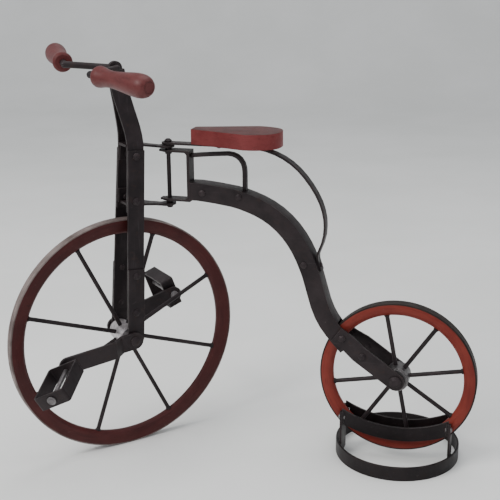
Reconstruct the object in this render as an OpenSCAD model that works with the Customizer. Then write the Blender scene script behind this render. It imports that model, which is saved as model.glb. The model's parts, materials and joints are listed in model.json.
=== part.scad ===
// Child's high-wheel velocipede with a flat-bar display stand under its rear wheel.
// Steering pin foot is the design origin; +X points to the rear, +Z up, the rider's left is -Y.

/* [Wheels] */
// outside diameter of the front wheel over its iron tyre
front_wheel_d = 340; // [300:2:400]
// outside diameter of the rear wheel over its iron tyre
rear_wheel_d = 218; // [180:2:260]
// width of the front wooden rim
front_rim_w = 14; // [10:1:24]
// radial depth of the front wooden rim
front_rim_h = 19; // [14:1:26]
// width of the rear wooden rim
rear_rim_w = 16; // [10:1:24]
// radial depth of the rear wooden rim
rear_rim_h = 16; // [12:1:24]
// thickness of both iron tyre bands
tyre_t = 2; // [1.5:0.5:4]
// number of spokes in each wheel
spoke_n = 8; // [6:1:12]
// spoke diameter
spoke_d = 6; // [4:0.5:8]
// turn of the front spokes about the axle
front_spoke_a = 25.8; // [0:0.2:45]
// turn of the rear spokes about the axle
rear_spoke_a = 11.2; // [0:0.2:45]

/* [Steering] */
// steering angle from straight ahead, towards the rider's left
steer = 47; // [0:1:70]
// front axle ahead of the steering pin
trail = 78; // [60:1:100]
// steering pin diameter
pin_d = 6; // [5:0.5:10]
// width of the fork bars
fork_w = 24; // [18:1:30]
// thickness of every flat bar in the fork
fork_t = 3; // [2:0.5:5]
// half spacing of the fork bars at the upper crown
crown_y = 18; // [14:1:24]
// half spacing of the fork bars at the axle
axle_y = 27; // [20:1:34]

/* [Frame] */
// steering pin to rear axle
wheelbase = 332; // [280:2:400]
// height of the rear axle
rear_axle_z = 124.4; // [100:0.2:150]
// height of the backbone's side face
bone_h = 25; // [18:1:32]
// width of the backbone across the frame
bone_w = 25; // [22:1:32]
// thickness of the seat spring strap
strap_t = 3; // [2:0.5:5]
// width of the seat spring strap
strap_w = 14; // [10:1:24]
// thickness of the wooden seat
seat_t = 21; // [14:1:30]
// half width of the seat at its widest corner
seat_half_w = 37; // [25:1:60]

/* [Drive] */
// crank length from axle to pedal pin
crank_l = 105; // [80:1:130]
// fall of the left crank below level
crank_a = 6; // [0:1:90]
// how far the right crank sits above the left crank's line
crank_skew = 8.5; // [0:0.5:15]
// pedal length along its pin
pedal_l = 66; // [50:1:80]
// pedal width across its pin
pedal_w = 46; // [30:1:60]
// depth of the pedal strip
pedal_h = 20; // [12:1:26]

/* [Handlebar] */
// handlebar rod diameter
bar_d = 9; // [7:0.5:14]
// grip length
grip_l = 104; // [80:2:140]
// largest grip diameter
grip_d = 30; // [24:1:40]

/* [Stand] */
// outside diameter of the base ring
ring_d = 175; // [150:1:220]
// height of the stand's bars
stand_h = 20; // [14:1:30]
// thickness of the stand's bars
stand_t = 3; // [2:0.5:5]
// sideways offset of the base ring from the wheel plane
ring_y = 17; // [0:1:25]

/* [Hidden] */
$fn = 48;
ox = -123.082;
oy = 65.676;
rf = front_wheel_d / 2;
rr = rear_wheel_d / 2;
axle_r = 5;
run = 0.05;
top_z = 436;
splay = atan((axle_y - crown_y) / (top_z - rf));
lean = 3.6;
pin_r = pin_d / 2;
bar_r = bar_d / 2;
fork_top = [-75, 546.5];
crown_rise = 8.5;
ear_t = fork_t - 0.1;
crank_y0 = 36;
crank_y1 = 47;
crank_t = 4;
pedal_t = 2.5;
pedal_pin_r = 3.2;
rear_y0 = bone_w / 2 + 1.5;
rear_y1 = 21;
bone_end = [247, 183];
rear_len = norm([wheelbase, rear_axle_z] - bone_end);
rear_ang = atan2(bone_end[1] - rear_axle_z, wheelbase - bone_end[0]);
seat_z = 440;
arc_r = 159;
arc_y = 14;
post_top = 44.2;
post_x = sqrt(pow(ring_d / 2 - stand_t, 2) - pow(ring_y + 16, 2)) - 0.1;
steel = [0.17, 0.14, 0.15];
iron = [0.24, 0.21, 0.2];
raw = [0.5, 0.48, 0.49];
maroon = [0.3, 0.11, 0.11];
red = [0.5, 0.17, 0.14];
pink = [0.52, 0.27, 0.25];
frame_axis = [
    [34, 373.3], [46, 373.3], [60, 372.2], [73, 370.8], [97, 367.6], [109, 364.9], [121, 361.1],
    [133, 356.6], [145, 350.8], [157, 343.3], [168.5, 333.8], [178.3, 323.5], [187, 312], [193.6, 301.2],
    [199.6, 289.2], [205.3, 275.6], [209.4, 264.5], [212.8, 252.6], [217, 238], [221.6, 222.4],
    [227, 209], [233.5, 197.4], [241, 187.2], [252, 174.6], [262, 164]];
strap_axis = [
    [-6, 438.5], [20, 438.5], [118, 438.5], [131, 437.4], [144, 434.9], [157, 430.7], [168, 425.6],
    [179, 418.7], [189, 410.4], [198, 400.8], [206.5, 389.8], [214, 378], [219.8, 366.4],
    [223.8, 354.8], [226, 344], [226.6, 333], [225.8, 321], [223, 309.5], [219.2, 300],
    [216.6, 293], [216.7, 286.5], [219, 278.8], [222, 270.5]];
loop_axis = [
    [33, 422.4], [47, 424], [63, 425.6], [80, 427], [89, 427.6], [95.5, 426.8], [101.5, 424.4],
    [106.4, 420.4], [109.8, 415.2], [111.6, 409.2], [112.2, 403], [112.2, 366]];
prong_side = [
    [-62.4, 351], [-57, 436], [-56.8, 446], [-57.4, 456], [-58.8, 466], [-60.8, 476], [-63.2, 487],
    [-65.8, 499], [-69, 513], [-74.3, 543.2]];
prong_front = [
    [17.84, 351], [14.96, 436], [14.62, 446], [12.9, 456], [10.6, 468], [8, 480], [5.4, 492], [3.2, 504],
    [2.1, 513], [1.75, 522], [1.7, 562]];

function mit(p, i) = let (
    a = p[max(i - 1, 0)], b = p[i], c = p[min(i + 1, len(p) - 1)],
    u = i == 0 ? (c - b) / norm(c - b) : (b - a) / norm(b - a),
    v = i == len(p) - 1 ? u : (c - b) / norm(c - b),
    n = [-u[1], u[0]], m = [-v[1], v[0]])
    (n + m) / (1 + n * m);
function off(p, w) = [for (i = [0:len(p) - 1]) p[i] + mit(p, i) * w];
function rev(p) = [for (i = [len(p) - 1:-1:0]) p[i]];
function band(p, w) = concat(off(p, w / 2), rev(off(p, -w / 2)));

module at() translate([ox, oy, 0]) children();
module steered() at() rotate([0, 0, steer]) children();
module side(s) mirror([0, s > 0 ? 0 : 1, 0]) children();
module xz(w) rotate([90, 0, 0]) translate([0, 0, -w / 2]) linear_extrude(w) children();
module across(r, l, y = 0) translate([0, y, 0]) rotate([90, 0, 0]) cylinder(r = r, h = l, center = true);
module pill(l, r) union() {
    circle(r);
    translate([l, 0]) circle(r);
    translate([0, -r]) square([l, 2 * r]);
}
module head(r, h) {
    cylinder(r = r, h = h * 0.45);
    translate([0, 0, h * 0.45]) cylinder(r1 = r, r2 = r * 0.5, h = h * 0.55);
}

// ---- wheels ----
module spokes(n, a, r0, r1, r) for (i = [0:n - 1]) rotate([0, -a - i * 360 / n, 0])
    translate([r0, 0, 0]) rotate([0, 90, 0]) cylinder(r = r, h = r1 - r0, $fn = 24);
module wheel_ring(p) rotate([90, 0, 0]) rotate_extrude($fn = 120) polygon(p);
module rim(ro, h, w, c) {
    ri = ro - h;
    wheel_ring([
        [ro, -w / 2], [ro, w / 2], [ro - h * 0.45, w / 2], [ri + c, w / 2 - 1.2], [ri + 0.8, w / 2 - c],
        [ri, w / 2 - c - 1.4], [ri, -w / 2 + c + 1.4], [ri + 0.8, -w / 2 + c], [ri + c, -w / 2 + 1.2],
        [ro - h * 0.45, -w / 2]]);
}
module tyre(ro, w) wheel_ring([
    [ro - tyre_t, -w / 2], [ro - tyre_t, w / 2], [ro - 0.5, w / 2], [ro, w / 2 - 0.8],
    [ro, -w / 2 + 0.8], [ro - 0.5, -w / 2]]);
module hub(r, l) difference() {
    union() {
        across(r - 1, l - 2);
        across(r, l - 6);
    }
    across(axle_r, l + 2);
}
module collars(n, a, ri, r) for (i = [0:n - 1]) rotate([0, -a - i * 360 / n, 0])
    translate([ri - 2.31, 0, 0]) rotate([0, 90, 0]) difference() {
        cylinder(r1 = r + 0.5, r2 = r + 1.3, h = 2.2, $fn = 24);
        translate([0, 0, -1]) cylinder(r = r, h = 4, $fn = 24);
    }
module front_at() steered() translate([-trail, 0, rf]) children();
module rear_at() at() translate([wheelbase, 0, rear_axle_z]) children();

module front_rim() color(maroon) front_at() difference() {
    rim(rf - tyre_t, front_rim_h, front_rim_w, 3.4);
    spokes(spoke_n, front_spoke_a, rf - tyre_t - front_rim_h - 2, rf - tyre_t - 8, spoke_d / 2);
}
module front_tyre() color(iron) front_at() tyre(rf, front_rim_w);
module front_hub() color(raw) front_at() difference() {
    hub(15.5, 44);
    spokes(spoke_n, front_spoke_a, 9, 22, spoke_d / 2);
}
module front_spokes() color(steel) front_at()
    spokes(spoke_n, front_spoke_a, 9, rf - tyre_t - 8, spoke_d / 2);
module front_collars() color(steel) front_at()
    collars(spoke_n, front_spoke_a, rf - tyre_t - front_rim_h, spoke_d / 2);
module front_axle() color(steel) front_at() union() {
    across(axle_r, 2 * (crank_y0 + crank_t / 2));
    for (s = [-1, 1]) translate([0, s * (crank_y0 + crank_t / 2), 0]) rotate([-s * 90, 0, 0]) head(7, 3);
}
module front_washers() color(raw) front_at() for (s = [-1, 1]) difference() {
    union() {
        across(8.5, 1.7, s * (crank_y0 - crank_t / 2 - 0.95));
        across(8, 5.6, s * 24.9);
    }
    across(axle_r, 100);
}
module rear_rim() color(red) rear_at() difference() {
    rim(rr - tyre_t, rear_rim_h, rear_rim_w, 4.6);
    spokes(spoke_n, rear_spoke_a, rr - tyre_t - rear_rim_h - 2, rr - tyre_t - 6, spoke_d / 2);
}
module rear_tyre() color(iron) rear_at() tyre(rr, rear_rim_w);
module rear_hub() color(raw) rear_at() difference() {
    union() {
        across(17, 26);
        across(15.5, 32);
    }
    across(axle_r + run, 50);
    spokes(spoke_n, rear_spoke_a, 9, 24, spoke_d / 2);
}
module rear_spokes() color(steel) rear_at()
    spokes(spoke_n, rear_spoke_a, 9, rr - tyre_t - 6, spoke_d / 2);
module rear_collars() color(steel) rear_at()
    collars(spoke_n, rear_spoke_a, rr - tyre_t - rear_rim_h, spoke_d / 2);
module rear_axle() color(steel) rear_at() union() {
    across(axle_r, 2 * rear_y1 + 3);
    for (s = [-1, 1]) translate([0, s * (rear_y1 + 1.5), 0]) rotate([-s * 90, 0, 0]) head(8.5, 4.5);
}
module rear_spacers() color(raw) rear_at() for (s = [-1, 1]) difference() {
    across(8, rear_y1 - 1.5 - 16.4, s * (rear_y1 - 1.5 + 16.4) / 2);
    across(axle_r, 60);
}

// ---- cranks and pedals ----
module crank_at(s) front_at() rotate([0, s < 0 ? 180 - crank_a : -crank_a - crank_skew, 0]) children();
module crank(s) color(steel) crank_at(s) difference() {
    intersection() {
        rotate([90, 0, 0]) translate([0, 0, -70]) linear_extrude(140) pill(crank_l, 12);
        translate([0, 0, -20]) linear_extrude(40) polygon(band([
            [-20, s * crank_y0], [20, s * crank_y0], [34, s * crank_y1], [crank_l + 20, s * crank_y1]], crank_t));
    }
    across(axle_r, 140);
    translate([crank_l, 0, 0]) across(pedal_pin_r, 140);
}
module crank_left() crank(-1);
module crank_right() crank(1);
// pedal frame: +X runs out along the pedal pin, +Z is the pedal's flat face, +Y its width
module pedal_at(s) crank_at(s) translate([crank_l, s * (crank_y1 + crank_t / 2), 0])
    rotate([0, s < 0 ? crank_a - 180 : crank_a + crank_skew, 0])
    rotate([0, s < 0 ? 13 : 0, s < 0 ? -90 - 38 : 90]) children();
function pedal_gap(s) = s < 0 ? 7.8 : 4.9;
module pedal_pin(s) {
    color(raw) pedal_at(s) union() {
        sphere(pedal_pin_r);
        rotate([0, 90, 0]) cylinder(r = pedal_pin_r, h = pedal_gap(s) + pedal_l + 0.4);
        translate([pedal_gap(s) + pedal_l + 0.4, 0, 0]) rotate([0, 90, 0]) head(6, 3.4);
        rotate([0, 90, 0]) translate([0, 0, pedal_gap(s) - 3]) cylinder(r = 4.6, h = 2.6);
    }
    color(raw) crank_at(s) translate([crank_l, 0, 0]) union() {
        across(pedal_pin_r, crank_t, s * crank_y1);
        translate([0, s * (crank_y1 - crank_t / 2), 0]) rotate([s * 90, 0, 0]) head(6, 3);
    }
}
module pedal_pin_left() pedal_pin(-1);
module pedal_pin_right() pedal_pin(1);
module rrect(l, w, r) union() {
    translate([r, -w / 2]) square([l - 2 * r, w]);
    translate([0, -w / 2 + r]) square([l, w - 2 * r]);
    for (x = [r, l - r], y = [-w / 2 + r, w / 2 - r]) translate([x, y]) circle(r);
}
module pedal(s, a) color(steel) pedal_at(s) rotate([a, 0, 0]) translate([pedal_gap(s), 0, 0]) difference() {
    translate([0, 0, -pedal_h / 2]) linear_extrude(pedal_h) difference() {
        rrect(pedal_l, pedal_w, 3.5);
        translate([pedal_t, 0]) rrect(pedal_l - 2 * pedal_t, pedal_w - 2 * pedal_t, 1.2);
    }
    translate([-5, 0, 0]) rotate([0, 90, 0]) cylinder(r = pedal_pin_r + run, h = pedal_l + 10);
}
module pedal_left() pedal(-1, 27);
module pedal_right() pedal(1, 70);

// ---- fork and handlebar ----
module blade_at(s) steered() translate([-57, s * crown_y, top_z]) rotate([s * splay, lean, 0]) children();
module axle_bore() front_at() across(axle_r + run, 120);
module rivet_at(s, z, y) translate([0, s * y, z]) rotate([-s * 90, 0, 0]) children();
module fork_holes(s) blade_at(s) for (z = [-8, -70, -175, -228])
    translate([0, 0, z]) across(2.5, 30);
module blade(s) color(steel) difference() {
    blade_at(s) translate([-fork_w / 2, -fork_t / 2, -237]) cube([fork_w, fork_t, 237]);
    fork_holes(s);
}
module fork_blade_left() blade(-1);
module fork_blade_right() blade(1);
module axle_plate(s) color(steel) difference() {
    blade_at(s) translate([0, s * fork_t, 0]) union() {
        translate([-fork_w / 2, -fork_t / 2, -265]) cube([fork_w, fork_t, 99]);
        translate([0, 0, -265]) across(fork_w / 2, fork_t);
    }
    axle_bore();
    fork_holes(s);
}
module axle_plate_left() axle_plate(-1);
module axle_plate_right() axle_plate(1);
module prong(s) color(steel) difference() {
    steered() side(s) intersection() {
        xz(60) union() {
            polygon(band(prong_side, fork_w));
            translate(fork_top) circle(9.4);
        }
        translate([-140, 0, 0]) rotate([90, 0, 90]) linear_extrude(160) polygon(band(prong_front, fork_t));
    }
    fork_holes(s);
    steered() translate([fork_top[0], 0, fork_top[1]]) across(bar_r, 40);
}
module fork_prong_left() prong(-1);
module fork_prong_right() prong(1);
module crown_side(z) polygon([
    [12, z], [12, z + fork_t], [-10, z + fork_t], [-44, z + fork_t + crown_rise * 0.8],
    [-72, z + fork_t + crown_rise], [-72, z + crown_rise], [-44, z + crown_rise * 0.8], [-10, z]]);
module crown(z, hw) color(steel) difference() {
    steered() intersection() {
        translate([0, 0, z - 5]) linear_extrude(40) polygon(concat(
            [[-44, -hw], [-70, -hw], [-70, hw], [-44, hw], [-26, 9.5]],
            [for (a = [90:-12:-90]) [9 * cos(a), 9 * sin(a)]], [[-26, -9.5]]));
        xz(60) crown_side(z);
    }
    steered() translate([0, 0, z - 1]) cylinder(r = pin_r + run, h = fork_t + 2);
}
module fork_crown_upper() crown(433, 13.1);
module fork_crown_lower() crown(350.5, 15.9);
module fork_ears() color(steel) difference() {
    for (s = [-1, 1]) blade_at(s) for (z = [[-17, 22], [-77, 20]])
        translate([-11, -s * 2 * fork_t - s * 0.05 - ear_t / 2, z[0]]) cube([22, ear_t, z[1]]);
    fork_holes(-1);
    fork_holes(1);
    fork_crown_upper();
    fork_crown_lower();
}
module fork_rivets() color(steel) for (s = [-1, 1]) blade_at(s) {
    for (z = [-8, -70]) rivet_at(s, z, 0) {
        translate([0, 0, -2.5 * fork_t]) cylinder(r = 2.5, h = 3 * fork_t);
        translate([0, 0, fork_t / 2]) head(5, 2.6);
        translate([0, 0, -2.5 * fork_t]) mirror([0, 0, 1]) head(4, 1.6);
    }
    for (z = [-175, -228]) rivet_at(s, z, 0) {
        translate([0, 0, -fork_t / 2]) cylinder(r = 2.5, h = 2 * fork_t);
        translate([0, 0, 1.5 * fork_t]) head(5, 2.6);
        translate([0, 0, -fork_t / 2]) mirror([0, 0, 1]) head(4, 1.6);
    }
}
function elbow(s) = [-53, s * 46.5, 1.5 + s * 2.4];
function grip_v(s) = [20.5, s * 85, s * 4.5] / norm([20.5, 85, 4.5]);
module bar_at() steered() translate([fork_top[0], 0, fork_top[1]]) children();
module along(v) rotate([0, acos(v[2] / norm(v)), atan2(v[1], v[0])]) children();
module leg(a, b, r) translate(a) along(b - a) cylinder(r = r, h = norm(b - a));
module grip_at(s) bar_at() translate(elbow(s) + 16 * grip_v(s)) along(grip_v(s)) children();
module handlebar() color(steel) bar_at() union() {
    across(bar_r, 13);
    for (s = [-1, 1]) {
        translate([0, s * 6.5, 0]) sphere(bar_r + 0.35);
        leg([0, s * 6.5, 0], elbow(s), bar_r);
        translate(elbow(s)) sphere(bar_r + 0.35);
        leg(elbow(s), elbow(s) + 95.9 * grip_v(s), bar_r);
    }
}
module grip(s) color(pink) grip_at(s) difference() {
    g = grip_d / 2;
    rotate_extrude($fn = 64) polygon([
        [0, 0], [g * 0.7, 0], [g * 0.86, 1.6], [g * 0.92, 4.5], [g * 0.9, 8.5], [g * 0.82, 14], [g * 0.75, 21],
        [g * 0.72, 29], [g * 0.735, 38], [g * 0.79, 49], [g * 0.87, 60], [g * 0.95, 71], [g * 0.995, 80],
        [g, 86], [g * 0.97, 92], [g * 0.88, 97], [g * 0.73, 101], [g * 0.56, 103.1], [g * 0.5, 103.5],
        [g * 0.44, 103.1], [g * 0.4, grip_l], [0, grip_l]]);
    translate([0, 0, -1]) cylinder(r = bar_r, h = 81);
}
module grip_left() grip(-1);
module grip_right() grip(1);

// ---- frame ----
module bone_cut() rear_at() across(rr + 3, 21);
module backbone() color(steel) difference() {
    at() xz(bone_w) polygon(band(frame_axis, bone_h));
    bone_cut();
    at() translate([wheelbase, 0, rear_axle_z]) across(83, 60);
    frame_holes();
}
module frame_holes() at() {
    for (p = [[53, 372], [106, 369.4], [199, 279]]) translate([p[0], 0, p[1]]) across(2.5, bone_w + 2);
    spring_end() cylinder(r = 2.2, h = 24, center = true);
    for (s = [-1, 1]) blade_line(9.6) across(2.5, 30, s * 14);
}
module head_bracket() color(steel) at() difference() {
    union() {
        for (z = [357.5, 427]) {
            translate([0, 0, z]) linear_extrude(3) union() {
                circle(10);
                translate([-12, -5]) square([12, 10]);
                translate([0, -10]) square([34, 20]);
            }
        }
        translate([30, -10, 357.5]) cube([4, 20, 72.5]);
        for (z = [360.5, 427]) translate([30, 0, z]) rotate([0, 45, 0]) cube([4, 20, 4], center = true);
    }
    translate([0, 0, 350]) cylinder(r = pin_r, h = 90);
}
module carry_loop() color(steel) at() difference() {
    xz(9) polygon(band(loop_axis, 5.6));
    xz(12) polygon(band(frame_axis, bone_h));
    translate([0, -20, 340]) cube([34, 40, 100]);
}
module frame_rivets() color(steel) at() {
    for (p = [[53, 372], [106, 369.4], [199, 279]]) translate([p[0], 0, p[1]]) {
        across(2.5, bone_w);
        for (s = [-1, 1]) translate([0, s * bone_w / 2, 0]) rotate([-s * 90, 0, 0]) head(4.5, 2);
    }
}
module steering_pin() color(steel) at() union() {
    translate([0, 0, 349]) cylinder(r = pin_r, h = 91.4);
    translate([0, 0, 440.3]) head(5.3, 4.2);
    translate([0, 0, 346.2]) cylinder(r1 = 3.6, r2 = 5.6, h = 3.3);
}
module pin_collars() color(steel) at() for (z = [[423.4, 3.6], [430, 2.9], [353.7, 3.7]])
    translate([0, 0, z[0]]) difference() {
        cylinder(r = pin_r + 1.8, h = z[1]);
        translate([0, 0, -1]) cylinder(r = pin_r, h = 8);
    }
module seat_spring() color(steel) at() difference() {
    union() {
        xz(strap_w) polygon(band(strap_axis, strap_t));
        translate([0, 0, 437]) cylinder(r = 9, h = strap_t);
    }
    translate([0, 0, 430]) cylinder(r = pin_r, h = 20);
    for (x = [75, 110]) translate([x, 0, 430]) cylinder(r = 2.2, h = 20);
    xz(40) polygon(band(frame_axis, bone_h));
    spring_end() cylinder(r = 2.2, h = 24, center = true);
}
module spring_end() translate([219.4, 0, 277.5]) rotate([0, 70, 0]) children();
module spring_rivet() color(steel) at() spring_end() {
    translate([0, 0, -12]) cylinder(r = 2.2, h = 13.72);
    translate([0, 0, 1.72]) head(3.8, 1.8);
}
function seat_edge(i) = i == 0 ? [38, 11] : i == 48 ? [38, -11] : let (a = 100 - (i - 1) * 200 / 46)
    [122 + 42.5 * cos(a) * (cos(a) > 0 ? 1 : 0.3), seat_half_w * sign(sin(a)) * pow(abs(sin(a)), 0.82)];
module seat_board() color(pink) at() translate([0, 0, seat_z]) difference() {
    linear_extrude(seat_t) union() {
        polygon([for (i = [0:48]) seat_edge(i)]);
    }
    for (x = [75, 110]) translate([x, 0, -1]) cylinder(r = 2.2, h = 13);
}
module seat_screws() color(raw) at() for (x = [75, 110]) translate([x, 0, 0]) {
    translate([0, 0, 437]) cylinder(r = 2.2, h = 14);
    translate([0, 0, 437]) mirror([0, 0, 1]) head(4.4, 2.6);
}
module blade_line(u) translate([bone_end[0], 0, bone_end[1]]) rotate([0, rear_ang, 0]) translate([u, 0, 0]) children();
module rear_blade(s) color(steel) at() difference() {
    blade_line(0) intersection() {
        rotate([90, 0, 0]) translate([0, 0, -40]) linear_extrude(80) union() {
            translate([0, -12.5]) square([rear_len, 25]);
            translate([rear_len, 0]) circle(12.5);
        }
        translate([0, 0, -20]) linear_extrude(40) polygon(band([
            [-20, s * (rear_y0)], [20, s * rear_y0], [40, s * rear_y1], [rear_len + 20, s * rear_y1]], 3));
    }
    translate([wheelbase, 0, rear_axle_z]) across(axle_r, 80);
    for (u = [9.6, 47]) blade_line(u) across(2.5, 80);
}
module rear_blade_left() rear_blade(-1);
module rear_blade_right() rear_blade(1);
module rear_fork_rivets() color(steel) at() for (s = [-1, 1]) {
    blade_line(9.6) rivet_at(s, 0, rear_y0 + 1.5) {
        translate([0, 0, -5.4]) cylinder(r = 2.5, h = 5.4);
        head(5, 2.6);
    }
    blade_line(47) rivet_at(s, 0, rear_y1 + 1.5) {
        translate([0, 0, -3]) cylinder(r = 2.5, h = 3);
        head(5, 2.6);
        translate([0, 0, -3]) mirror([0, 0, 1]) head(4, 1.4);
    }
}

// ---- stand ----
module stand_ring_at() at() translate([wheelbase, ring_y, 0]) children();
module post_frame(s) at() translate([wheelbase, 0, 0]) rotate([0, 0, s > 0 ? 0 : 180]) children();
module base_ring() color(steel) stand_ring_at() difference() {
    cylinder(r = ring_d / 2, h = stand_h, $fn = 120);
    translate([0, 0, -1]) cylinder(r = ring_d / 2 - stand_t, h = stand_h + 2, $fn = 120);
}
module stand_post(s) color(steel) difference() {
    post_frame(s) translate([post_x - stand_t, -16, 0]) cube([stand_t, 32, 67]);
    at() translate([wheelbase - 120, -10.6, post_top]) cube([240, 21.2, 40]);
    bolt_holes(s);
}
module bolt_holes(s) post_frame(s) for (y = [-13.3, 13.3])
    translate([post_x - 10, y, 58.5]) rotate([0, 90, 0]) cylinder(r = 2, h = 20);
module stand_post_front() stand_post(-1);
module stand_post_rear() stand_post(1);
module cradle(s) color(steel) difference() {
    union() {
        difference() {
            rear_at() translate([0, s * arc_y, 52.8 + arc_r - rear_axle_z]) rotate([90, 0, 0])
                rotate_extrude(angle = 64, start = 238, $fn = 240)
                translate([arc_r, -stand_t / 2]) square([stand_h, stand_t]);
            for (e = [-1, 1]) post_frame(e) translate([post_x - stand_t, -60, 0]) cube([60, 120, 120]);
        }
        for (e = [-1, 1]) post_frame(e) translate([post_x - 2 * stand_t, (e * s > 0 ? 1 : -1) * 13.3 - 3.2, 50])
            cube([stand_t, 6.4, 17]);
    }
    for (e = [-1, 1]) {
        bolt_holes(e);
        post_frame(e) for (y = [-13.3, 13.3]) translate([post_x - 2 * stand_t - 2.2, y, 58.5])
            rotate([0, 90, 0]) cylinder(r = 3.4, h = 2.2);
    }
}
module cradle_left() cradle(-1);
module cradle_right() cradle(1);
module stand_bolts() color(raw) for (e = [-1, 1]) post_frame(e) for (y = [-13.3, 13.3]) translate([0, y, 58.5]) {
    translate([post_x - 2 * stand_t, 0, 0]) rotate([0, 90, 0]) cylinder(r = 2, h = 2 * stand_t);
    translate([post_x, 0, 0]) rotate([0, 90, 0]) head(3.6, 2.2);
    translate([post_x - 2 * stand_t, 0, 0]) rotate([0, -90, 0]) head(3.2, 2);
}
module stand_welds() color(steel) for (e = [-1, 1]) intersection() {
    post_frame(e) translate([post_x, e > 0 ? -14 : 5, 2]) cube([6, 9, 16]);
    stand_ring_at() cylinder(r = ring_d / 2 - stand_t, h = stand_h, $fn = 120);
}

front_rim();
front_tyre();
front_hub();
front_spokes();
front_collars();
front_axle();
front_washers();
rear_rim();
rear_tyre();
rear_hub();
rear_spokes();
rear_collars();
rear_axle();
rear_spacers();
crank_left();
crank_right();
pedal_pin_left();
pedal_pin_right();
pedal_left();
pedal_right();
fork_blade_left();
fork_blade_right();
axle_plate_left();
axle_plate_right();
fork_prong_left();
fork_prong_right();
fork_crown_upper();
fork_crown_lower();
fork_ears();
fork_rivets();
handlebar();
grip_left();
grip_right();
backbone();
head_bracket();
carry_loop();
frame_rivets();
steering_pin();
pin_collars();
seat_spring();
spring_rivet();
seat_board();
seat_screws();
rear_blade_left();
rear_blade_right();
rear_fork_rivets();
base_ring();
stand_post_front();
stand_post_rear();
cradle_left();
cradle_right();
stand_bolts();
stand_welds();
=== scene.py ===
import json
import math

import bpy
from mathutils import Matrix, Vector


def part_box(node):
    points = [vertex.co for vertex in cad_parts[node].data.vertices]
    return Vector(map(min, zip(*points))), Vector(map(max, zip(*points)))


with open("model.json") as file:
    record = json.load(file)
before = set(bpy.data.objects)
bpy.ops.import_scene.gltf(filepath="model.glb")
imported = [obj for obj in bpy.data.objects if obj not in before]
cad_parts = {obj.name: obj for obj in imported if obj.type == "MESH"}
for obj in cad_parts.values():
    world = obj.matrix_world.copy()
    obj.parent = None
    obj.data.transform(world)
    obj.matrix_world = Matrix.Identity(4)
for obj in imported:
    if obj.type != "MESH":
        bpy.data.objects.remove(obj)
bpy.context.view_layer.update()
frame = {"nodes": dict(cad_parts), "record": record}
NODES = frame["nodes"]
RECORD = frame["record"]
JOINTS = {j["name"]: j for j in RECORD["behaviour"]["joints"]}


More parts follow.
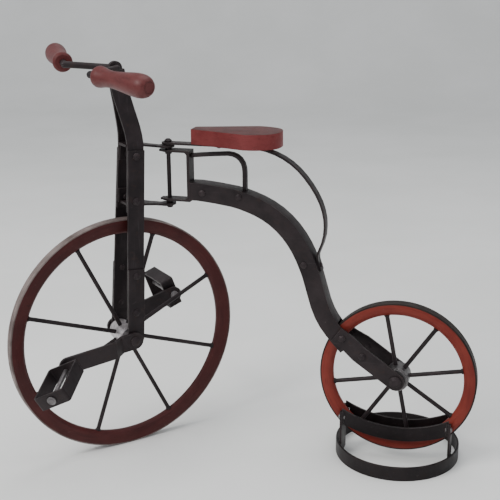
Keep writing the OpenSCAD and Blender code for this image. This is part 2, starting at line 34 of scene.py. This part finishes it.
# ---------------------------------------------------------------- shader helpers
class Graph:
    """Small wrapper that adds nodes to one material and wires or sets their inputs."""

    def __init__(self, name):
        self.mat = bpy.data.materials.new(name)
        self.mat.use_nodes = True
        self.tree = self.mat.node_tree
        self.tree.nodes.clear()

    def add(self, kind, inputs=None, **attrs):
        node = self.tree.nodes.new(kind)
        for key, value in attrs.items():
            setattr(node, key, value)
        for key, value in (inputs or {}).items():
            if isinstance(value, bpy.types.NodeSocket):
                self.tree.links.new(value, node.inputs[key])
            else:
                node.inputs[key].default_value = value
        return node

    def coords(self):
        return self.add("ShaderNodeTexCoord").outputs["Object"]

    def mapped(self, vector, scale=(1, 1, 1), loc=(0, 0, 0), rot=(0, 0, 0)):
        return self.add("ShaderNodeMapping", {
            "Vector": vector, "Scale": scale, "Location": loc, "Rotation": rot}).outputs[0]

    def noise(self, vector, scale, detail=4.0, rough=0.55, distort=0.0):
        return self.add("ShaderNodeTexNoise", {
            "Vector": vector, "Scale": scale, "Detail": detail, "Roughness": rough,
            "Distortion": distort}).outputs[0]

    def voronoi(self, vector, scale):
        return self.add("ShaderNodeTexVoronoi", {"Vector": vector, "Scale": scale}).outputs["Distance"]

    def math(self, op, a, b=0.5, clamp=False):
        return self.add("ShaderNodeMath", {0: a, 1: b}, operation=op, use_clamp=clamp).outputs[0]

    def ramp(self, value, lo, hi, out_lo=0.0, out_hi=1.0):
        return self.add("ShaderNodeMapRange", {
            "Value": value, "From Min": lo, "From Max": hi, "To Min": out_lo, "To Max": out_hi},
            interpolation_type="SMOOTHSTEP").outputs[0]

    def mix(self, factor, a, b, blend="MIX"):
        node = self.add("ShaderNodeMix", data_type="RGBA", blend_type=blend)
        for key, value in ((0, factor), (6, a), (7, b)):
            if isinstance(value, bpy.types.NodeSocket):
                self.tree.links.new(value, node.inputs[key])
            else:
                node.inputs[key].default_value = value if key == 0 else (*value, 1.0)
        return node.outputs[2]

    def edges(self, radius, lo, hi):
        """About 0 on flat faces and 1 on edges, from the bent normals of a small bevel."""
        bevel = self.add("ShaderNodeBevel", {"Radius": radius}, samples=6)
        true = self.add("ShaderNodeNewGeometry").outputs["Normal"]
        dot = self.add("ShaderNodeVectorMath", {0: bevel.outputs[0], 1: true},
                       operation="DOT_PRODUCT").outputs["Value"]
        return self.ramp(dot, hi, lo)

    def up(self):
        normal = self.add("ShaderNodeNewGeometry").outputs["Normal"]
        return self.add("ShaderNodeSeparateXYZ", {0: normal}).outputs[2]

    def bump(self, height, strength, distance, bevel=0.0):
        inputs = {"Height": height, "Strength": strength, "Distance": distance}
        if bevel:
            inputs["Normal"] = self.add("ShaderNodeBevel", {"Radius": bevel}, samples=6).outputs[0]
        return self.add("ShaderNodeBump", inputs).outputs[0]

    def finish(self, colour, rough, metal, normal, coat=0.0, coat_rough=0.3, spec=0.5):
        shader = self.add("ShaderNodeBsdfPrincipled", {
            "Base Color": colour, "Roughness": rough, "Metallic": metal, "Normal": normal,
            "Coat Weight": coat, "Coat Roughness": coat_rough, "Specular IOR Level": spec})
        out = self.add("ShaderNodeOutputMaterial")
        self.tree.links.new(shader.outputs[0], out.inputs[0])
        return self.mat

    def round_coords(self, joint):
        """Angle (radians), radius and width (metres) round the axis of one joint."""
        pos, axis = Vector(joint["pos_m"]), Vector(joint["axis"]).normalized()
        local = axis.to_track_quat("Z", "X").inverted().to_matrix()
        rows = [self.add("ShaderNodeVectorMath", {
            0: self.coords(), 1: tuple(local[i])}, operation="DOT_PRODUCT").outputs["Value"]
            for i in range(3)]
        shift = local @ pos
        x, y, z = (self.math("SUBTRACT", rows[i], shift[i]) for i in range(3))
        angle = self.math("ARCTAN2", y, x)
        square = self.math("ADD", self.math("MULTIPLY", x, x), self.math("MULTIPLY", y, y))
        return angle, self.math("SQRT", square), z


def dark_steel(name, seed, stretch=(1, 1, 1), tone=1.0, wear_and_top_shade=1.0):
    """Oiled dark flat bar: brown-grey skin, mill streaks, scuffs, lighter rubbed edges."""
    g = Graph(name)
    at = g.mapped(g.coords(), loc=(seed, seed * 1.7, seed * 0.6))
    streak = g.mapped(at, scale=stretch)
    cloud = g.noise(at, 22.0, 5.0, 0.6)
    mottle = g.noise(at, 95.0, 4.0, 0.65, 0.4)
    mill = g.noise(streak, 240.0, 3.0, 0.6)
    pits = g.voronoi(at, 420.0)
    base = g.mix(g.ramp(cloud, 0.32, 0.68), (0.0120 * tone, 0.0084 * tone, 0.0096 * tone),
                 (0.0265 * tone, 0.0192 * tone, 0.0205 * tone))
    brown = g.math("MULTIPLY", g.ramp(mottle, 0.56, 0.74), 0.5)
    base = g.mix(brown, base, (0.040 * tone, 0.0215 * tone, 0.0165 * tone))
    grain = g.math("MULTIPLY", g.ramp(mill, 0.58, 0.8), 0.35)
    base = g.mix(grain, base, (0.060, 0.052, 0.055))
    rub = g.math("MULTIPLY", g.edges(0.0011, 0.72, 0.985), g.ramp(g.noise(at, 60.0, 5.0), 0.38, 0.62))
    rub = g.math("MULTIPLY", rub, 0.75 * wear_and_top_shade, clamp=True)
    scuff = g.math("MULTIPLY", g.ramp(g.noise(at, 34.0, 6.0, 0.75, 1.2), 0.64, 0.72), 0.35 * wear_and_top_shade)
    bare = g.math("MAXIMUM", rub, scuff)
    colour = g.mix(bare, base, (0.170, 0.140, 0.135))
    rough = g.math("ADD", g.math("MULTIPLY", mottle, 0.30), g.math("MULTIPLY", mill, 0.12))
    rough = g.math("ADD", rough, 0.27)
    height = g.math("ADD", g.math("MULTIPLY", mottle, 0.6), g.math("MULTIPLY", mill, 0.25))
    height = g.math("SUBTRACT", height, g.math("MULTIPLY", g.ramp(pits, 0.16, 0.02), 0.35))
    metal = g.math("ADD", g.math("MULTIPLY", bare, 0.45), 0.2)
    return g.finish(colour, rough, metal, g.bump(height, 0.35, 0.0006, 0.0007), spec=0.24)


def bare_steel(name, tone, seed):
    """Dull turned steel with ring marks, grey film and a few brown spots."""
    g = Graph(name)
    at = g.mapped(g.coords(), loc=(seed, -seed, seed * 2))
    film = g.noise(at, 70.0, 5.0, 0.6)
    spots = g.noise(at, 210.0, 3.0, 0.7, 0.6)
    marks = g.noise(at, 900.0, 2.0)
    base = g.mix(g.ramp(film, 0.3, 0.7), (0.20 * tone, 0.185 * tone, 0.19 * tone),
                 (0.42 * tone, 0.395 * tone, 0.40 * tone))
    base = g.mix(g.math("MULTIPLY", g.ramp(spots, 0.6, 0.76), 0.7), base, (0.10, 0.062, 0.045))
    edge = g.math("MULTIPLY", g.edges(0.0008, 0.75, 0.985), 0.6)
    colour = g.mix(edge, base, (0.62, 0.6, 0.59))
    rough = g.math("ADD", g.math("MULTIPLY", film, 0.3), 0.24)
    return g.finish(colour, rough, 0.75, g.bump(g.math("ADD", spots, marks), 0.25, 0.0003, 0.0005))


def tyre_iron(name, joint, seed, dark, light):
    """Iron band: brown-grey tread, scuffed along the rolling direction, dust in the low spots."""
    g = Graph(name)
    angle, radius, width = g.round_coords(joint)
    roll = g.add("ShaderNodeCombineXYZ", {
        0: g.math("MULTIPLY", angle, 0.9), 1: g.math("MULTIPLY", width, 60.0),
        2: g.math("MULTIPLY", radius, 60.0)}).outputs[0]
    at = g.mapped(g.coords(), loc=(seed, seed, -seed))
    cloud = g.noise(at, 30.0, 5.0, 0.62)
    streak = g.noise(roll, 6.0, 5.0, 0.65)
    pits = g.noise(at, 420.0, 3.0, 0.7)
    colour = g.mix(g.ramp(cloud, 0.32, 0.68), dark, light)
    colour = g.mix(g.math("MULTIPLY", g.ramp(streak, 0.52, 0.72), 0.55), colour,
                   tuple(min(1, c * 1.9) for c in light))
    colour = g.mix(g.math("MULTIPLY", g.ramp(pits, 0.6, 0.75), 0.5), colour, tuple(c * 0.45 for c in dark))
    rough = g.math("ADD", g.math("MULTIPLY", cloud, 0.25), 0.45)
    height = g.math("ADD", pits, streak)
    return g.finish(colour, rough, 0.25, g.bump(height, 0.4, 0.0005, 0.0006), spec=0.25)


def painted_wood(name, seed, grain_vector, paint, faded, under, top_shade_colour=None, gloss=0.45, chips=1.0):
    """Thin faded paint over turned or bent wood; grain_vector(graph) gives the run of the grain."""
    g = Graph(name)
    at = g.mapped(g.coords(), loc=(seed, seed * 0.4, -seed))
    along = grain_vector(g)
    grain = g.noise(along, 1.0, 6.0, 0.62, 0.5)
    pores = g.noise(along, 5.0, 3.0, 0.7)
    cloud = g.noise(at, 14.0, 5.0, 0.6)
    patch = g.noise(at, 46.0, 6.0, 0.7, 0.8)
    fine = g.noise(at, 330.0, 3.0, 0.6)
    colour = g.mix(g.ramp(cloud, 0.3, 0.7), paint, faded)
    dark_paint = tuple(c * 0.62 for c in paint)
    colour = g.mix(g.math("MULTIPLY", g.ramp(grain, 0.45, 0.72), 0.55), colour, dark_paint)
    colour = g.mix(g.math("MULTIPLY", g.ramp(pores, 0.6, 0.8), 0.35), colour, under)
    # painted shade: upward faces are darkened towards a darker top colour, in noisy patches, to offset the strong
    # light from above
    if top_shade_colour:
        flat = g.ramp(g.up(), 0.75, 0.97)
        wear_and_top_shade = g.math("MULTIPLY", flat, g.ramp(g.noise(at, 20.0, 6.0, 0.7, 0.6), 0.3, 0.6, 0.55, 1.0))
        shaded_top_colour = g.mix(g.ramp(grain, 0.35, 0.7), top_shade_colour, tuple(c * 0.55 for c in top_shade_colour))
        colour = g.mix(wear_and_top_shade, colour, shaded_top_colour)
    rub = g.math("MULTIPLY", g.edges(0.0018, 0.75, 0.985), g.ramp(patch, 0.42, 0.62))
    chip = g.math("MULTIPLY", g.ramp(patch, 0.685, 0.715), 0.6 * chips)
    bare = g.math("MAXIMUM", g.math("MULTIPLY", rub, 0.6), chip)
    colour = g.mix(bare, colour, under)
    colour = g.mix(g.math("MULTIPLY", g.ramp(fine, 0.64, 0.8), 0.10), colour, (0.45, 0.36, 0.32))
    rough = g.math("ADD", g.math("MULTIPLY", patch, 0.35), gloss - 0.12)
    rough = g.math("ADD", rough, g.math("MULTIPLY", bare, 0.2))
    height = g.math("ADD", g.math("MULTIPLY", grain, 0.5), g.math("MULTIPLY", pores, 0.35))
    height = g.math("SUBTRACT", height, g.math("MULTIPLY", bare, 0.4))
    height = g.math("ADD", height, g.math("MULTIPLY", fine, 0.15))
    return g.finish(colour, rough, 0.0, g.bump(height, 0.4, 0.0006, 0.0011), coat=0.03, coat_rough=0.40, spec=0.22)


def wheel_grain(joint):
    def vector(g):
        angle, radius, width = g.round_coords(joint)
        return g.add("ShaderNodeCombineXYZ", {
            0: g.math("MULTIPLY", angle, 4.0), 1: g.math("MULTIPLY", radius, 420.0),
            2: g.math("MULTIPLY", width, 420.0)}).outputs[0]
    return vector


def bar_grain(direction, run=18.0, across=420.0):
    """Grain that runs straight along one direction of the row frame."""
    d = Vector(direction).normalized()
    local = d.to_track_quat("X", "Z").inverted().to_matrix()

    def vector(g):
        parts = [g.add("ShaderNodeVectorMath", {0: g.coords(), 1: tuple(local[i])},
                       operation="DOT_PRODUCT").outputs["Value"] for i in range(3)]
        return g.add("ShaderNodeCombineXYZ", {
            0: g.math("MULTIPLY", parts[0], run), 1: g.math("MULTIPLY", parts[1], across),
            2: g.math("MULTIPLY", parts[2], across)}).outputs[0]
    return vector


def centre(node):
    lo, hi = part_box(node)
    return (Vector(lo) + Vector(hi)) / 2


# ---------------------------------------------------------------- materials on the CAD nodes
front, rear = JOINTS["front_wheel_spin"], JOINTS["rear_wheel_spin"]
bar_mid = centre("handlebar")

maroon = painted_wood("maroon_rim", 3.1, wheel_grain(front), (0.042, 0.0064, 0.0064), (0.070, 0.0125, 0.0118),
                      (0.026, 0.0105, 0.0085), gloss=0.43)
red = painted_wood("red_rim", 7.7, wheel_grain(rear), (0.135, 0.0125, 0.0080), (0.190, 0.027, 0.0175),
                   (0.052, 0.013, 0.0095), gloss=0.38)
pink_args = ((0.134, 0.0165, 0.0170), (0.190, 0.036, 0.036), (0.060, 0.019, 0.0165))
grip_args = ((0.078, 0.0120, 0.0120), (0.118, 0.030, 0.029), (0.048, 0.017, 0.0145))
grip_l = painted_wood("grip_left_paint", 1.3, bar_grain(centre("grip_left") - bar_mid, 14.0, 260.0),
                      *grip_args, gloss=0.38)
grip_r = painted_wood("grip_right_paint", 5.9, bar_grain(centre("grip_right") - bar_mid, 14.0, 260.0),
                      *grip_args, gloss=0.38)
# the seat's upward faces get a darker colour: painted shade against the light from above
seat = painted_wood("seat_paint", 9.2, bar_grain((1, 0, 0), 20.0, 320.0), *pink_args,
                    top_shade_colour=(0.070, 0.026, 0.0245), gloss=0.50)
front_iron = tyre_iron("front_tyre_iron", front, 2.0, (0.095, 0.070, 0.064), (0.215, 0.175, 0.165))
rear_iron = tyre_iron("rear_tyre_iron", rear, 4.0, (0.0105, 0.0066, 0.0054), (0.024, 0.0160, 0.0130))
steels = {
    "upright": dark_steel("steel_upright", 0.4, (1, 1, 0.06)),
    "long": dark_steel("steel_long", 1.9, (0.06, 1, 1)),
    "plain": dark_steel("steel_plain", 3.3),
    "stand": dark_steel("steel_stand", 5.1, (1, 1, 1), 0.55, 0.8),
    "spoke": dark_steel("steel_spoke", 6.4, (1, 1, 1), 1.0, 0.6),
    "rivet": dark_steel("steel_rivet", 8.2, (1, 1, 1), 1.35, 1.4),
}
FINISH = {
    "front_rim": maroon, "rear_rim": red, "grip_left": grip_l, "grip_right": grip_r, "seat_board": seat,
    "front_tyre": front_iron, "rear_tyre": rear_iron,
    # painted light: the front hub gets a far lighter tone (1.7) than the other bare steel, to brighten it out of
    # the shade it sits in
    "front_hub": bare_steel("hub_painted_light_grey", 1.7, 1.1), "rear_hub": bare_steel("hub_dark", 0.4, 2.2),
    "front_washers": bare_steel("washer_grey", 0.6, 3.3), "rear_spacers": bare_steel("spacer_grey", 0.5, 4.4),
    "pedal_pin_left": bare_steel("pin_left_grey", 0.55, 5.5),
    "pedal_pin_right": bare_steel("pin_right_grey", 0.6, 6.6),
    "seat_screws": bare_steel("screw_grey", 0.7, 7.7), "stand_bolts": bare_steel("bolt_grey", 0.6, 8.8),
}
# steel finish by the start of a node's name
KIND = {
    "upright": ("fork_blade", "axle_plate", "fork_prong", "steering_pin", "head_bracket", "stand_post"),
    "long": ("backbone", "seat_spring", "carry_loop", "rear_blade", "fork_crown", "handlebar"),
    "stand": ("base_ring", "cradle"),
    "spoke": ("front_spokes", "rear_spokes", "front_collars", "rear_collars"),
    "rivet": ("front_axle", "rear_axle", "pin_collars"),
}


def finish_for(node):
    if node in FINISH:
        return FINISH[node]
    if "rivet" in node or "weld" in node:
        return steels["rivet"]
    for kind, stems in KIND.items():
        if any(node.startswith(s) for s in stems):
            return steels[kind]
    return steels["plain"]


# width in metres and segments of the rounding on the edges that are seen close up
BEVELS = {
    "seat_board": (0.0032, 4), "backbone": (0.0012, 3), "carry_loop": (0.0013, 3),
    "front_rim": (0.0006, 2), "rear_rim": (0.0006, 2)}
WELD_DISTANCE = 0.000004
BEVEL_ANGLE = math.radians(40)
SMOOTH_ANGLE = math.radians(28)

for name, obj in NODES.items():
    mesh = obj.data
    mesh.materials.clear()
    mesh.materials.append(finish_for(name))
    if "custom_normal" in mesh.attributes:
        mesh.attributes.remove(mesh.attributes["custom_normal"])
    for poly in mesh.polygons:
        poly.use_smooth = True
    weld = obj.modifiers.new("weld", "WELD")
    weld.merge_threshold = WELD_DISTANCE
    if name in BEVELS:
        bevel = obj.modifiers.new("bevel", "BEVEL")
        bevel.width, bevel.segments = BEVELS[name]
        bevel.limit_method = "ANGLE"
        bevel.angle_limit = BEVEL_ANGLE
    split = obj.modifiers.new("split", "EDGE_SPLIT")
    split.split_angle = SMOOTH_ANGLE


# ---------------------------------------------------------------- floor, light and camera
def floor_material():
    g = Graph("pale_floor")
    at = g.coords()
    tone = g.noise(at, 2.2, 4.0)
    colour = g.mix(g.ramp(tone, 0.3, 0.7), (0.80, 0.81, 0.79), (0.86, 0.865, 0.85))
    return g.finish(colour, 0.62, 0.0, g.bump(g.noise(at, 160.0, 3.0), 0.08, 0.0005))


WALL_BEHIND = 3.2
VIEW_TURN = math.radians(16.84)
CURVE_STEPS = 16


def sweep(width, depth, height, radius):
    """Floor that curves up into a wall behind the cycle."""
    profile = [(-depth, 0.0)]
    for i in range(CURVE_STEPS + 1):
        a = math.pi / 2 * i / CURVE_STEPS
        profile.append((WALL_BEHIND + radius * math.sin(a), radius * (1 - math.cos(a))))
    profile.append((WALL_BEHIND + radius, height))
    verts, faces = [], []
    for y, z in profile:
        verts += [(-width, y, z), (width, y, z)]
    for i in range(len(profile) - 1):
        faces.append((2 * i, 2 * i + 1, 2 * i + 3, 2 * i + 2))
    mesh = bpy.data.meshes.new("floor_sweep")
    mesh.from_pydata(verts, [], faces)
    for poly in mesh.polygons:
        poly.use_smooth = True
    obj = bpy.data.objects.new("floor_sweep", mesh)
    bpy.context.scene.collection.objects.link(obj)
    obj.rotation_euler = (0, 0, VIEW_TURN)
    mesh.materials.append(floor_material())
    return obj


sweep(14.0, 14.0, 8.0, 1.2)


def area(name, loc, aim, size, power, colour):
    data = bpy.data.lights.new(name, "AREA")
    data.shape = "RECTANGLE"
    data.size, data.size_y = size
    data.energy, data.color = power, colour
    obj = bpy.data.objects.new(name, data)
    bpy.context.scene.collection.objects.link(obj)
    obj.location = loc
    obj.rotation_euler = (Vector(aim) - Vector(loc)).to_track_quat("-Z", "Y").to_euler()


LIGHT_AIM = (0.0, 0.0, 0.2)
area("key_window", (-1.5, -1.6, 2.1), LIGHT_AIM, (1.4, 1.2), 58.0, (1.0, 0.985, 0.96))
area("fill_front", (1.9, -2.0, 1.2), LIGHT_AIM, (1.8, 1.6), 5.0, (0.94, 0.97, 1.0))
area("top_soft", (0.2, 0.3, 2.4), LIGHT_AIM, (2.2, 2.2), 30.0, (1.0, 1.0, 1.0))

world = bpy.data.worlds.new("soft_room")
world.use_nodes = True
world.node_tree.nodes["Background"].inputs[0].default_value = (0.93, 0.95, 1.0, 1.0)
world.node_tree.nodes["Background"].inputs[1].default_value = 0.6
bpy.context.scene.world = world

# eye point and tilt of the camera, in the row frame
CAM_AT = Vector((0.386018, -1.225324, 0.6923))
PITCH, ROLL = math.radians(16.56), math.radians(0.46)
ahead = Vector((-0.2897, 0.9571, 0.0)).normalized()
look = ahead * math.cos(PITCH) - Vector((0, 0, math.sin(PITCH)))
right = look.cross(Vector((0, 0, 1))).normalized()
above = right.cross(look)
right, above = (right * math.cos(ROLL) - above * math.sin(ROLL),
                above * math.cos(ROLL) + right * math.sin(ROLL))
cam = bpy.data.cameras.new("photo_view")
cam.lens, cam.sensor_width, cam.sensor_fit = 72.0, 36.0, "HORIZONTAL"
cam_obj = bpy.data.objects.new("photo_view", cam)
bpy.context.scene.collection.objects.link(cam_obj)
turn = Matrix((right, above, -look)).transposed().to_4x4()
cam_obj.matrix_world = Matrix.Translation(CAM_AT) @ turn
bpy.context.scene.camera = cam_obj

bpy.context.view_layer.update()
